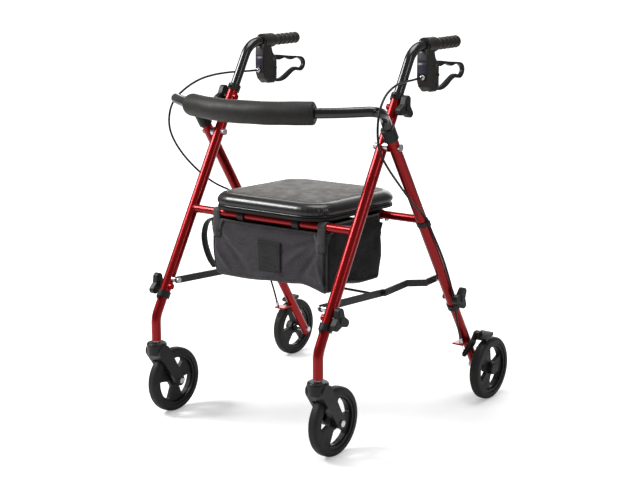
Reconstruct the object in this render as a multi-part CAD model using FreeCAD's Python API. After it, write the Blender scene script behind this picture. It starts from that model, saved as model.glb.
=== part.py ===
"""Four-wheeled folding rollator walker: two tube frames hinged on one axis,
a lifting seat over a bag, a bowed backrest, loop brakes and 6 inch wheels.

+Z is up, -Y is forward, +X is the user's left.  Millimetres.
The origin is on the floor under the middle of the bounding box.
"""
import FreeCAD
import Part
import math
import os

V = FreeCAD.Vector
X_AXIS = V(1, 0, 0)

# ---- driving dimensions ----
TUBE_R = 12.7            # outer frame tube, 1 inch
TUBE_BORE_R = 11.2
INNER_R = 11.1           # telescoping leg and handle tube, 7/8 inch
INNER_BORE_R = 9.6
BAR_R = 9.5              # crossbars, 3/4 inch
RUN_GAP = 0.05           # radial clearance of a running fit
FREE_GAP = 0.3           # gap between bodies that only pass each other

FRONT_X = 237.0          # side plane of the front tubes, handles and casters
REAR_X = 269.0           # side plane of the rear tubes
REAR_WHEEL_X = 306.5
BAR_Z = 475.0            # both crossbars
FRONT_BAR_Y = -189.6
REAR_BAR_Y = 13.7
FRONT_SLOPE = 0.5474     # Y per Z of the front tubes
WHEEL_R = 76.2
TYRE_HALF = 12.0
CASTER_WHEEL_Y = -267.0
REAR_WHEEL_Y = 267.0
STEM_Y = -319.6
STEM_Z = 182.5           # lower end of a front leg tube

PIVOT_BOLT_R = 4.0
LINK_BOLT_R = 3.0
AXLE_R = 4.0
KNOB_R = 27.5
LINK_T = 4.0
FRONT_LINK_X = 208.0     # inner face of the front brace links
BRACE_M_Y = -48.0        # middle pivot of the braces
BRACE_M_Z = 311.0
BRACE_A_Z = 321.0
BRACE_B_Z = 320.0

BAG_HALF_X = 168.0
BAG_Y0 = -200.0
BAG_Y1 = 4.0
BAG_Z0 = 325.0
BAG_Z1 = 463.0           # rim under the crossbars
BAG_SIDE_Z = 482.0       # top of the side walls between the crossbars
BAG_WALL = 3.0
BAG_CORNER = 12.0
STRAP_X = 153.0
CLIP_X = 80.0

SEAT_HALF_X = 165.0
SEAT_Y0 = -222.0
SEAT_Y1 = 97.0
SEAT_Z0 = 488.0
SEAT_Z1 = 494.0
SEAT_Z2 = 527.0
SEAT_CORNER = 66.0

BACK_BAR_R = 11.0
PAD_R = 25.0
PAD_HALF_X = 178.0

CABLE_R = 2.5
HANDLE_UP = 75.0         # handle travel above and below its set height
HANDLE_DOWN = 50.0
BRAKE_REST = 5.0         # degrees the brake arm stands off the tyre

REAR_SLOPE = (REAR_WHEEL_Y - REAR_BAR_Y) / (WHEEL_R - BAR_Z)
PIVOT_Z = BAR_Z + (REAR_BAR_Y - FRONT_BAR_Y) / (FRONT_SLOPE - REAR_SLOPE)
PIVOT_Y = FRONT_BAR_Y + FRONT_SLOPE * (PIVOT_Z - BAR_Z)

os.makedirs("parts", exist_ok=True)


def front_at(z, x=FRONT_X):
    """Point on the axis of a front tube at height z."""
    return V(x, FRONT_BAR_Y + FRONT_SLOPE * (z - BAR_Z), z)


def rear_at(z, x=REAR_X):
    """Point on the axis of a rear tube at height z."""
    return V(x, REAR_BAR_Y + REAR_SLOPE * (z - BAR_Z), z)


FRONT_UP = (front_at(700) - front_at(200)).normalize()
REAR_UP = (rear_at(700) - rear_at(200)).normalize()


def cyl(a, b, r):
    """Cylinder from point a to point b."""
    return Part.makeCylinder(r, (b - a).Length, a, b - a)


def ring(a, b, r, bore):
    """Tube from a to b with a bore."""
    d = (b - a).normalize()
    return cyl(a, b, r).cut(cyl(a - d, b + d, bore))


def xcyl(x0, x1, y, z, r):
    """Cylinder along X."""
    return cyl(V(x0, y, z), V(x1, y, z), r)


def box(x0, x1, y0, y1, z0, z1):
    return Part.makeBox(x1 - x0, y1 - y0, z1 - z0, V(x0, y0, z0))


def plate_x(points, x0, x1):
    """Polygon of (y, z) points, extruded along X."""
    pts = [V(x0, y, z) for y, z in points]
    face = Part.Face(Part.makePolygon(pts + pts[:1]))
    return face.extrude(V(x1 - x0, 0, 0))


def smooth_plate_x(points, x0, x1):
    """Closed smooth outline through (y, z) points, extruded along X."""
    outline = Part.BSplineCurve()
    outline.interpolate([V(x0, y, z) for y, z in points], PeriodicFlag=True)
    return Part.Face(Part.Wire(outline.toShape())).extrude(V(x1 - x0, 0, 0))


def link_x(c0, r0, c1, r1, x0, x1):
    """Flat link along X thickness: two discs and their common tangents."""
    dy, dz = c1[0] - c0[0], c1[1] - c0[1]
    dist = math.hypot(dy, dz)
    base = math.atan2(dz, dy)
    off = math.acos((r0 - r1) / dist)
    pts = []
    for c, r, s in ((c0, r0, 1), (c1, r1, 1), (c1, r1, -1), (c0, r0, -1)):
        a = base + s * off
        pts.append((c[0] + r * math.cos(a), c[1] + r * math.sin(a)))
    body = plate_x(pts, x0, x1)
    return body.fuse([xcyl(x0, x1, c0[0], c0[1], r0), xcyl(x0, x1, c1[0], c1[1], r1)])


def fused(shapes):
    """One clean solid from several."""
    out = shapes[0].fuse(shapes[1:]) if len(shapes) > 1 else shapes[0]
    return out.removeSplitter()


def mirrored(shape):
    return shape.mirror(V(0, 0, 0), X_AXIS)


def round_edges(shape, r, pick):
    """Fillet the edges that pick() accepts."""
    return shape.makeFillet(r, [e for e in shape.Edges if pick(e)])


def route_wire(points, radii=None):
    """Straight runs joined by tangent arcs.  Returns the wire and the radii."""
    edges = []
    used = []
    last = points[0]
    for i in range(1, len(points) - 1):
        a, p, b = points[i - 1], points[i], points[i + 1]
        u = (a - p).normalize()
        w = (b - p).normalize()
        half = (math.pi - u.getAngle(w)) / 2
        reach = 0.45 * min((a - p).Length, (b - p).Length)
        r = reach / math.tan(half)
        if radii and radii[i - 1]:
            r = radii[i - 1]
            reach = r * math.tan(half)
        used.append(r)
        mid = (u + w).normalize()
        centre = p + mid * (r / math.cos(half))
        s = p + u * reach
        e = p + w * reach
        edges.append(Part.LineSegment(last, s).toShape())
        edges.append(Part.Arc(s, centre - mid * r, e).toShape())
        last = e
    edges.append(Part.LineSegment(last, points[-1]).toShape())
    return Part.Wire(edges), used


def pipe(points, r, radii=None, label=None):
    """Round solid swept along a route."""
    wire, used = route_wire(points, radii)
    start = (points[1] - points[0]).normalize()
    profile = Part.Wire(Part.makeCircle(r, points[0], start))
    solid = wire.makePipeShell([profile], True, False)
    if solid.Volume < 0:
        solid.reverse()
    if label:
        ratio = solid.Volume / (math.pi * r * r * wire.Length)
        print(label, "radii", [round(v) for v in used], "length", round(wire.Length), "volume ratio", round(ratio, 4))
    return solid


def save(name, shape):
    """Write one node."""
    for solid in shape.Solids:
        if not solid.isValid() or solid.Volume <= 0:
            raise ValueError(name + " is not valid")
    shape.exportStep("parts/" + name + ".step")
    nodes.append((name, shape))


nodes = []

# ---- fixed points ----
PIVOT = (PIVOT_Y, PIVOT_Z)
A = (front_at(BRACE_A_Z).y, BRACE_A_Z)
M = (BRACE_M_Y, BRACE_M_Z)
B = (rear_at(BRACE_B_Z).y, BRACE_B_Z)
FRONT_LOW_Z = 283.0      # lower end of a front outer tube
FRONT_TOP_Z = 751.0      # upper end of a front outer tube
REAR_LOW_Z = 246.0       # lower end of a rear outer tube
REAR_TOP_Z = 674.0       # upper end of a rear outer tube
KNOB_FRONT_Z = 305.0
KNOB_HANDLE_Z = 727.0
KNOB_REAR_Z = 272.0
SCREW_R = 3.2
FRONT_KNOB_X = FRONT_X + TUBE_R
REAR_KNOB_X = REAR_X + TUBE_R

# ---- front tubes ----
front_outer = ring(front_at(FRONT_LOW_Z), front_at(FRONT_TOP_Z), TUBE_R, TUBE_BORE_R)
bosses = []
for z in (KNOB_FRONT_Z, KNOB_HANDLE_Z):
    y = front_at(z).y
    bosses.append(xcyl(FRONT_X - TUBE_R - 5, FRONT_X, y, z, 7.0))
front_tube = fused([front_outer] + bosses)
front_tube = front_tube.cut(cyl(front_at(FRONT_LOW_Z - 9), front_at(FRONT_TOP_Z + 9), TUBE_BORE_R))
for z in (KNOB_FRONT_Z, KNOB_HANDLE_Z):
    y = front_at(z).y
    front_tube = front_tube.cut(xcyl(FRONT_X, FRONT_X + 20, y, z, SCREW_R + RUN_GAP))
front_tube = front_tube.cut(xcyl(200, 300, PIVOT_Y, PIVOT_Z, PIVOT_BOLT_R))
front_tube = front_tube.cut(xcyl(200, FRONT_X, A[0], A[1], LINK_BOLT_R))
save("front_tube_left", front_tube)
save("front_tube_right", mirrored(front_tube))
front_solid = cyl(front_at(FRONT_LOW_Z), front_at(FRONT_TOP_Z), TUBE_R)

# ---- crossbar between the front tubes, cut to their surface ----
bar = xcyl(-FRONT_X, FRONT_X, FRONT_BAR_Y, BAR_Z, BAR_R)
save("front_crossbar", bar.cut([front_solid, mirrored(front_solid)]))

# ---- black end collars on the front tubes ----
collars = []
for z, s in ((FRONT_LOW_Z, 1), (FRONT_TOP_Z, -1)):
    end = front_at(z)
    up = FRONT_UP * s
    sleeve = ring(end, end + up * 12, 15.2, TUBE_R)
    lip = ring(end - up * 3, end, 15.2, INNER_R + RUN_GAP)
    collar = fused([sleeve, lip])
    lug = box(FRONT_X - 3, FRONT_X + 3, end.y - 19, end.y - 12, end.z - 2, end.z + 5)
    inside = cyl(end - up * 9, end + up * 20, 15.0)
    collars.append(fused([collar, lug.cut(inside)]))
collars += [mirrored(c) for c in collars]
save("tube_collars", Part.makeCompound(collars))

# ---- main hinge bolts and the front brace anchors ----
bolts = []
shank = xcyl(FRONT_X - TUBE_R - 7, REAR_X + TUBE_R + 1.5, PIVOT_Y, PIVOT_Z, PIVOT_BOLT_R)
nut = xcyl(FRONT_X - TUBE_R - 7, FRONT_X, PIVOT_Y, PIVOT_Z, 7.5).cut(front_solid)
spacer = xcyl(FRONT_X, REAR_X - TUBE_R - FREE_GAP, PIVOT_Y, PIVOT_Z, 11.0).cut(front_solid)
head = xcyl(REAR_X + TUBE_R + FREE_GAP, REAR_X + TUBE_R + 4.5, PIVOT_Y, PIVOT_Z, 8.0)
bolts.append(fused([shank, nut, spacer, head]))
gap_x = FRONT_LINK_X + LINK_T + FREE_GAP
anchor = xcyl(gap_x, FRONT_X, A[0], A[1], 6.0).cut(front_solid)
pin = xcyl(FRONT_LINK_X - 1, FRONT_X - TUBE_R + 1, A[0], A[1], LINK_BOLT_R)
cap = xcyl(FRONT_LINK_X - 3.8, FRONT_LINK_X - FREE_GAP, A[0], A[1], 6.5)
bolts.append(fused([anchor, pin, cap]))
save("frame_bolts", Part.makeCompound(bolts + [mirrored(b) for b in bolts]))

# ---- bag: open-topped, its panels butted along the seams, hung by four strap loops ----
bag_block = box(-BAG_HALF_X, BAG_HALF_X, BAG_Y0, BAG_Y1, BAG_Z0, BAG_Z1)
bag_block = round_edges(bag_block, BAG_CORNER, lambda e: abs(e.tangentAt(e.FirstParameter).z) > 0.9)
bottom = bag_block.common(box(-200, 200, -300, 100, BAG_Z0, BAG_Z0 + 6))
bottom = round_edges(bottom, 5.0, lambda e: e.BoundBox.ZMax < BAG_Z0 + 0.5)
wall_z = BAG_Z0 + 6
side_y0 = BAG_Y0 + BAG_CORNER
side_y1 = BAG_Y1 - BAG_CORNER
panels = [bottom]
for y in (BAG_Y0, BAG_Y1 - BAG_WALL):
    panels.append(box(BAG_CORNER - BAG_HALF_X, BAG_HALF_X - BAG_CORNER, y, y + BAG_WALL, wall_z, BAG_Z1))
for s in (-1, 1):
    x0, x1 = sorted((s * BAG_HALF_X, s * (BAG_HALF_X - BAG_WALL)))
    panels.append(box(x0, x1, side_y0, side_y1, wall_z, BAG_Z1))
    panels.append(box(x0, x1, side_y0 + 10, side_y1, BAG_Z1, BAG_SIDE_Z))
    for y, t in ((side_y0, -1), (side_y1, 1)):
        x = s * (BAG_HALF_X - BAG_CORNER)
        bend = ring(V(x, y, wall_z), V(x, y, BAG_Z1), BAG_CORNER, BAG_CORNER - BAG_WALL)
        quarter_x = sorted((x, x + s * 20))
        quarter_y = sorted((y, y + t * 20))
        panels.append(bend.common(box(quarter_x[0], quarter_x[1], quarter_y[0], quarter_y[1], wall_z, BAG_Z1)))
for x in (-STRAP_X, STRAP_X):
    for y, bore in ((FRONT_BAR_Y, BAR_R), (REAR_BAR_Y, BAR_R + FREE_GAP)):
        x0, x1 = x - 10, x + 10
        loop = xcyl(x0, x1, y, BAR_Z, bore + 2).cut(xcyl(x0 - 1, x1 + 1, y, BAR_Z, bore))
        tail = box(x0, x1, y - bore - 2, y - bore, BAG_Z1 - 32, BAR_Z)
        panels.append(fused([loop, tail]).cut(bag_block))
carry = [(-157, 463), (-182, 458), (-197, 443), (-204, 420), (-203, 398), (-195, 375), (-183, 354), (-157, 336)]
carry_inside = []
for i, (x, z) in enumerate(carry):
    before = carry[max(i - 1, 0)]
    after = carry[min(i + 1, len(carry) - 1)]
    dx, dz = after[0] - before[0], after[1] - before[1]
    length = math.hypot(dx, dz)
    carry_inside.append((x - 2 * dz / length, z + 2 * dx / length))
for i in range(len(carry) - 1):
    quad = [carry[i], carry[i + 1], carry_inside[i + 1], carry_inside[i]]
    quad = [V(x, BAG_Y0 + 1, z) for x, z in quad]
    part = Part.Face(Part.makePolygon(quad + quad[:1])).extrude(V(0, 20, 0))
    panels.append(part.cut(bag_block))
save("bag", Part.makeCompound(panels))

# ---- rear tubes ----
rear_tube = ring(rear_at(REAR_LOW_Z), rear_at(REAR_TOP_Z), TUBE_R, TUBE_BORE_R)
rear_boss = xcyl(REAR_X - TUBE_R - 5, REAR_X, rear_at(KNOB_REAR_Z).y, KNOB_REAR_Z, 7.0)
rear_tube = fused([rear_tube, rear_boss]).cut(cyl(rear_at(REAR_LOW_Z - 9), rear_at(REAR_TOP_Z + 9), TUBE_BORE_R))
rear_tube = rear_tube.cut(xcyl(REAR_X, REAR_X + 20, rear_at(KNOB_REAR_Z).y, KNOB_REAR_Z, SCREW_R + RUN_GAP))
rear_tube = rear_tube.cut(xcyl(200, 300, PIVOT_Y, PIVOT_Z, PIVOT_BOLT_R + RUN_GAP))
rear_tube = rear_tube.cut(xcyl(200, REAR_X, B[0], B[1], LINK_BOLT_R))
save("rear_tube_left", rear_tube)
save("rear_tube_right", mirrored(rear_tube))
rear_solid = cyl(rear_at(REAR_LOW_Z), rear_at(REAR_TOP_Z), TUBE_R)
rear_bar = xcyl(-REAR_X, REAR_X, REAR_BAR_Y, BAR_Z, BAR_R)
save("rear_crossbar", rear_bar.cut([rear_solid, mirrored(rear_solid)]))

# ---- collars at the lower ends of the rear tubes ----
end = rear_at(REAR_LOW_Z)
rear_collar = fused([
    ring(end, end + REAR_UP * 12, 15.2, TUBE_R),
    ring(end - REAR_UP * 3, end, 15.2, INNER_R + RUN_GAP),
])
lug = box(REAR_X - 3, REAR_X + 3, end.y - 19, end.y - 12, end.z + 2, end.z + 9)
rear_collar = fused([rear_collar, lug.cut(cyl(end - REAR_UP * 9, end + REAR_UP * 20, 15.0))])
save("rear_leg_collars", Part.makeCompound([rear_collar, mirrored(rear_collar)]))

# ---- rear brace anchors and the screws under the rear crossbar ----
b_link_x = REAR_X - TUBE_R - 6.3 - LINK_T
b_boss = xcyl(b_link_x + LINK_T + FREE_GAP, REAR_X, B[0], B[1], 6.0).cut(rear_solid)
b_pin = xcyl(b_link_x - 1, REAR_X - TUBE_R + 1, B[0], B[1], LINK_BOLT_R)
b_cap = xcyl(b_link_x - 3.8, b_link_x - FREE_GAP, B[0], B[1], 6.5)
b_bolt = fused([b_boss, b_pin, b_cap])
strap_screw = cyl(V(175, REAR_BAR_Y, BAR_Z), V(175, REAR_BAR_Y, BAR_Z - BAR_R - 3.5), 5.0)
strap_screw = strap_screw.cut(rear_bar)
rear_bits = [b_bolt, strap_screw]
save("rear_frame_bolts", Part.makeCompound(rear_bits + [mirrored(b) for b in rear_bits]))

# ---- cable clips on the outer side of the rear tubes ----
CLIP_Z = 468.0
c = rear_at(CLIP_Z)
clip = ring(c - REAR_UP * 6, c + REAR_UP * 6, TUBE_R + 2.0, TUBE_R)
saddle = cyl(c - REAR_UP * 6 + V(16.2, 0, 0), c + REAR_UP * 6 + V(16.2, 0, 0), 4.6)
clip = fused([clip, saddle]).cut([cyl(c - REAR_UP * 9, c + REAR_UP * 9, TUBE_R), rear_bar])
clip = clip.cut(cyl(c - REAR_UP * 9 + V(16.2, 0, 0), c + REAR_UP * 9 + V(16.2, 0, 0), CABLE_R + 0.5))
save("cable_clips", Part.makeCompound([clip, mirrored(clip)]))

# ---- backrest: sockets on the rear tube ends, bowed bar and foam pad ----
top = rear_at(REAR_TOP_Z)
socket_top = top + REAR_UP * 20
bow = [V(296, -187, 732), V(222, -231, 727), V(112, -277, 723), V(0, -294, 721.5)]
bow_points = bow + [V(-p.x, p.y, p.z) for p in reversed(bow[:-1])]
rise = top + REAR_UP * 44 + V(2, 0, 0)
bar_points = [top + REAR_UP * 4, rise] + bow_points
bar_points += [V(-rise.x, rise.y, rise.z), V(-top.x, (top + REAR_UP * 4).y, (top + REAR_UP * 4).z)]
radii = [32, 30, None, None, None, None, None, 30, 32]
backrest_bar = pipe(bar_points, BACK_BAR_R, radii, "backrest bar")
socket = ring(top - REAR_UP * 10, top, 16.2, TUBE_R)
cup = cyl(top, socket_top, 16.2)
socket = fused([socket, cup])
socket = round_edges(socket, 3.0, lambda e: e.Length > 90 and (e.CenterOfMass - socket_top).Length < 1)
socket = socket.cut(backrest_bar)
save("backrest_sockets", Part.makeCompound([socket, mirrored(socket)]))
save("backrest_bar", backrest_bar)
pad = pipe(bow_points, PAD_R)
pad = pad.common(box(-PAD_HALF_X, PAD_HALF_X, -400, 0, 600, 800))
pad = pad.cut(backrest_bar)
save("backrest_pad", pad)

# ---- side braces: two links a side, meeting at M ----
front_link = link_x(A, 8.0, M, 8.0, FRONT_LINK_X, FRONT_LINK_X + LINK_T)
front_link = front_link.cut(xcyl(200, 220, A[0], A[1], LINK_BOLT_R + RUN_GAP))
front_link = fused([front_link, xcyl(FRONT_LINK_X - 3.4, FRONT_LINK_X, M[0], M[1], 6.5)])
save("brace_front_links", Part.makeCompound([front_link, mirrored(front_link)]))
rod_y = M[0] - 27
rod_z = M[1] + 27 * (A[1] - M[1]) / (M[0] - A[0])
save("brace_cross_rod", xcyl(-FRONT_LINK_X, FRONT_LINK_X, rod_y, rod_z, 3.0))

mx0 = FRONT_LINK_X + LINK_T + FREE_GAP
jog0, jog1 = 0.56, 0.76
p0 = V(0, M[0] + (B[0] - M[0]) * jog0, M[1] + (B[1] - M[1]) * jog0)
p1 = V(0, M[0] + (B[0] - M[0]) * jog1, M[1] + (B[1] - M[1]) * jog1)
half = 8.0
low = link_x(M, half, (p0.y, p0.z), half, mx0, mx0 + LINK_T)
low = low.common(box(200, 300, M[0] - 20, p0.y, 200, 400))
high = link_x((p1.y, p1.z), half, B, half, b_link_x, b_link_x + LINK_T)
high = high.common(box(200, 300, p1.y, B[0] + 20, 200, 400))
step_points = [
    V(mx0, p0.y, p0.z - half), V(mx0 + LINK_T, p0.y, p0.z - half),
    V(b_link_x + LINK_T, p1.y, p0.z - half), V(b_link_x, p1.y, p0.z - half),
]
step = Part.Face(Part.makePolygon(step_points + step_points[:1])).extrude(V(0, 0, 2 * half))
rear_link = fused([low, step, high])
rear_link = rear_link.cut(xcyl(200, 300, B[0], B[1], LINK_BOLT_R + RUN_GAP))
rear_link = fused([rear_link, xcyl(mx0 + LINK_T, mx0 + LINK_T + 4, M[0], M[1], 5.5)])
save("brace_rear_links", Part.makeCompound([rear_link, mirrored(rear_link)]))

# ---- seat: moulded board with snap clips on the front crossbar, and cushion ----
board = box(-SEAT_HALF_X, SEAT_HALF_X, SEAT_Y0, SEAT_Y1, SEAT_Z0, SEAT_Z1)
board = round_edges(board, SEAT_CORNER, lambda e: abs(e.tangentAt(e.FirstParameter).z) > 0.9)
clips = []
for x in (-CLIP_X, CLIP_X):
    hook = xcyl(x - 9, x + 9, FRONT_BAR_Y, BAR_Z, 13.5)
    web = box(x - 9, x + 9, FRONT_BAR_Y - 10, FRONT_BAR_Y + 10, BAR_Z, SEAT_Z0 + 1)
    clips.append(hook.fuse(web))
for x in (-100, 100):
    clips.append(box(x - 15, x + 15, REAR_BAR_Y - 9, REAR_BAR_Y + 9, BAR_Z + BAR_R + FREE_GAP, SEAT_Z0 + 1))
board = fused([board] + clips)
board = board.cut(xcyl(-200, 200, FRONT_BAR_Y, BAR_Z, BAR_R + RUN_GAP))
mouth = [(FRONT_BAR_Y, BAR_Z), (FRONT_BAR_Y - 14, BAR_Z - 20), (FRONT_BAR_Y + 6, BAR_Z - 20)]
for x in (-CLIP_X, CLIP_X):
    board = board.cut(plate_x(mouth, x - 10, x + 10))
save("seat_board", board)
cushion = box(-SEAT_HALF_X, SEAT_HALF_X, SEAT_Y0, SEAT_Y1, SEAT_Z1, SEAT_Z2)
cushion = round_edges(cushion, SEAT_CORNER, lambda e: abs(e.tangentAt(e.FirstParameter).z) > 0.9)
cushion = round_edges(cushion, 9.0, lambda e: e.BoundBox.ZMin > SEAT_Z2 - 1)
save("seat_cushion", cushion)

# ---- handles ----
GRIP_START = V(FRONT_X, 97, 857.1)
GRIP_END = V(FRONT_X, 198, 861.4)
grip_dir = (GRIP_END - GRIP_START).normalize()
slope = grip_dir.z / grip_dir.y
corner_y = (front_at(BAR_Z).y + FRONT_SLOPE * (GRIP_START.z - BAR_Z - slope * GRIP_START.y))
corner_y /= 1 - FRONT_SLOPE * slope
corner = V(FRONT_X, corner_y, GRIP_START.z + slope * (corner_y - GRIP_START.y))
handle_low = V(FRONT_X, PIVOT_Y, PIVOT_Z) - FRONT_UP * (HANDLE_UP + 22)
handle_points = [handle_low, corner, GRIP_END - grip_dir * 4]
handle_tube = pipe(handle_points, INNER_R, [60]).cut(pipe(handle_points, INNER_BORE_R, [60]))
# long slot that lets the tube slide past the main hinge bolt
slot_r = PIVOT_BOLT_R + FREE_GAP
slot_low = V(FRONT_X, PIVOT_Y, PIVOT_Z) - FRONT_UP * (HANDLE_UP + 2)
slot_high = V(FRONT_X, PIVOT_Y, PIVOT_Z) + FRONT_UP * (HANDLE_DOWN + 2)
handle_tube = handle_tube.cut(link_x(
    (slot_low.y, slot_low.z), slot_r, (slot_high.y, slot_high.z), slot_r, FRONT_X - 20, FRONT_X + 20))
save("handle_tube_left", handle_tube)
save("handle_tube_right", mirrored(handle_tube))
handle_solid = pipe(handle_points, INNER_R, [60])


def on_grip(run, radius):
    """Point at a distance along the grip and a radius from its axis."""
    return GRIP_START + grip_dir * run + V(0, -grip_dir.z, grip_dir.y) * radius


# the outline waves in and out for five fingers and rounds off at the end
GRIP_RUN = (GRIP_END - GRIP_START).Length
waves = [on_grip(5, 13.9)]
for i in range(5):
    waves += [on_grip(13 + 16.5 * i, 14.0 + 0.06 * i), on_grip(21.25 + 16.5 * i, 12.5)]
waves += [on_grip(94, 14.2), on_grip(98.5, 13.2), on_grip(GRIP_RUN, 10.8)]
outline = Part.BSplineCurve()
outline.interpolate(waves)
flange = Part.makePolygon([on_grip(GRIP_RUN, 10.8), on_grip(GRIP_RUN, 0), on_grip(0, 0), on_grip(0, 16.5),
                           on_grip(5, 16.5), on_grip(5, 13.9)])
grip = Part.Face(Part.Wire([outline.toShape()] + flange.Edges)).revolve(GRIP_START, grip_dir, 360)
grip = grip.cut(handle_solid)
save("grip_left", grip)
save("grip_right", mirrored(grip))

# ---- brake lever housings: clamp on the tube with a deep body below it ----
LEVER_Y, LEVER_Z = 88.0, 811.0
CABLE_START = V(FRONT_X + 3, 48, 785.3)
CABLE_LEAD = V(FRONT_X + 5, 31, 784.5)
profile = [
    (60, 856), (56, 846), (54, 828), (54, 778), (60, 764), (74, 753), (94, 753),
    (103, 760), (104.5, 770), (104.5, 808), (100, 818), (90, 828), (86, 840), (86, 856),
]
housing = plate_x(profile, FRONT_X - 14.5, FRONT_X + 14.5)
housing = round_edges(housing, 3.5, lambda e: e.BoundBox.XLength < 0.1)
housing = housing.fuse(cyl(V(FRONT_X, 62, 855.6), GRIP_START, 17.5))
housing = housing.removeSplitter().cut(handle_solid)
slot = plate_x([(68, 765), (68, 828), (76, 836), (120, 850), (120, 740), (78, 740)], FRONT_X - 5, FRONT_X + 5)
lead = (CABLE_LEAD - CABLE_START).normalize()
ferrule = cyl(CABLE_START - lead * 10, CABLE_START, 4.5)
screws = []
for y, z in ((98, 790), (96, 768)):
    screws.append(xcyl(FRONT_X - 16, FRONT_X + 16, y, z, 3.2))
housing = fused([housing, ferrule] + screws).cut(slot)
housing = housing.fuse(xcyl(FRONT_X - 16, FRONT_X + 16, LEVER_Y, LEVER_Z, 3.4))
save("brake_housing_left", housing)
save("brake_housing_right", mirrored(housing))

# ---- brake loop levers, one flat loop each ----
outer_loop = [
    (76, 818), (104, 821), (160, 817), (206, 814), (221, 810), (229, 798), (224, 784), (212, 777),
    (192, 779), (178, 775), (158, 763), (136, 755), (106, 755), (84, 761), (74, 790),
]
inner_loop = [
    (110, 812), (128, 808), (150, 812), (170, 806.5), (192, 810), (213, 805), (220, 797), (216, 788),
    (208, 785), (190, 788), (174, 784), (153, 773), (134, 764), (114, 763), (108, 771),
]
lever = smooth_plate_x(outer_loop, FRONT_X - 4.5, FRONT_X + 4.5)
lever = lever.cut(smooth_plate_x(inner_loop, FRONT_X - 6, FRONT_X + 6))
lever = round_edges(lever, 0.8, lambda e: e.BoundBox.XLength < 0.1)
lever = lever.cut(xcyl(FRONT_X - 6, FRONT_X + 6, LEVER_Y, LEVER_Z, 3.4 + RUN_GAP))
save("brake_lever_left", lever)
save("brake_lever_right", mirrored(lever))

# ---- clamp knobs: three rounded lobes on a neck, with a screw stub ----


def knob(x_surface, y, z, neck, turn):
    """Knob on the outer side of a tube whose outermost line is x_surface."""
    x0 = x_surface + FREE_GAP
    head0 = x0 + neck
    head1 = head0 + 14
    body = [xcyl(head0, head1, y, z, 13.0)]
    for i in range(3):
        a = math.radians(turn + 120 * i)
        tip = (y + (KNOB_R - 9) * math.cos(a), z + (KNOB_R - 9) * math.sin(a))
        body.append(link_x((y, z), 12.5, tip, 9.0, head0, head1))
    head = fused(body)
    head = round_edges(head, 2.5, lambda e: abs(e.BoundBox.XMax - head1) < 0.01 and e.BoundBox.XLength < 0.01)
    stub = xcyl(x_surface - (TUBE_R - INNER_R) + FREE_GAP, head0, y, z, SCREW_R)
    return fused([head, xcyl(x0, head0 + 1, y, z, 6.5), xcyl(head1 - 1, head1 + 2, y, z, 7.0), stub])


for name, x, z, at, neck, turn in (
    ("knob_handle", FRONT_KNOB_X, KNOB_HANDLE_Z, front_at, 8.0, 78),
    ("knob_front_leg", FRONT_KNOB_X, KNOB_FRONT_Z, front_at, 8.0, 95),
    ("knob_rear_leg", REAR_KNOB_X, KNOB_REAR_Z, rear_at, 7.5, 60),
):
    one = knob(x, at(z).y, z, neck, turn)
    save(name + "_left", one)
    save(name + "_right", mirrored(one))

# ---- front legs: inner tube with a bend to vertical over the caster ----
leg_corner_z = BAR_Z + (STEM_Y - FRONT_BAR_Y) / FRONT_SLOPE
leg_points = [V(FRONT_X, STEM_Y, STEM_Z), V(FRONT_X, STEM_Y, leg_corner_z), front_at(398)]
front_leg = pipe(leg_points, INNER_R, [55]).cut(pipe(leg_points, INNER_BORE_R, [55]))
plug = cyl(V(FRONT_X, STEM_Y, STEM_Z), V(FRONT_X, STEM_Y, STEM_Z + 24), INNER_BORE_R)
front_leg = fused([front_leg, plug]).cut(cyl(V(FRONT_X, STEM_Y, STEM_Z - 1), V(FRONT_X, STEM_Y, STEM_Z + 25), 5.0))
save("front_leg_left", front_leg)
save("front_leg_right", mirrored(front_leg))

# stem bolt: up into the leg, down through the fork head, retained below
HEAD_Z0, HEAD_Z1 = 150.0, 178.0
stem = fused([
    cyl(V(FRONT_X, STEM_Y, HEAD_Z0 + 1), V(FRONT_X, STEM_Y, STEM_Z + 25), 5.0),
    cyl(V(FRONT_X, STEM_Y, HEAD_Z1 + FREE_GAP), V(FRONT_X, STEM_Y, STEM_Z), 9.0),
])
save("caster_stem_left", stem)
save("caster_stem_right", mirrored(stem))

# ---- caster forks: round head, two arms trailing back to the axle ----
head = Part.makeCone(21.0, 23.4, 22, V(FRONT_X, STEM_Y, HEAD_Z0), V(0, 0, 1))
head = head.fuse(Part.makeCylinder(23.4, 6, V(FRONT_X, STEM_Y, HEAD_Z0 + 22)))
head = head.removeSplitter()
head = round_edges(head, 5.0, lambda e: e.BoundBox.ZMin > HEAD_Z1 - 0.5)
arms = link_x((STEM_Y + 3, 156), 17.0, (CASTER_WHEEL_Y, WHEEL_R), 12.5, FRONT_X - 23.4, FRONT_X + 23.4)
arms = arms.common(box(200, 300, -400, -200, 40, 172))
fork = fused([head, arms])
wheel_room = xcyl(FRONT_X - 14.5, FRONT_X + 14.5, CASTER_WHEEL_Y, WHEEL_R, WHEEL_R + 3)
fork = fork.cut(wheel_room)
fork = fork.cut(cyl(V(FRONT_X, STEM_Y, 100), V(FRONT_X, STEM_Y, 200), 5.0 + RUN_GAP))
fork = fork.cut(xcyl(200, 300, CASTER_WHEEL_Y, WHEEL_R, AXLE_R))
fork = max(fork.Solids, key=lambda s: s.Volume)
save("caster_fork_left", fork)
save("caster_fork_right", mirrored(fork))
axle = fused([
    xcyl(FRONT_X - 28, FRONT_X + 24, CASTER_WHEEL_Y, WHEEL_R, AXLE_R),
    xcyl(FRONT_X - 28, FRONT_X - 23.4, CASTER_WHEEL_Y, WHEEL_R, 6.5),
    xcyl(FRONT_X + 23.4, FRONT_X + 27, CASTER_WHEEL_Y, WHEEL_R, 7.0),
])
save("caster_axle_left", axle)
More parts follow.
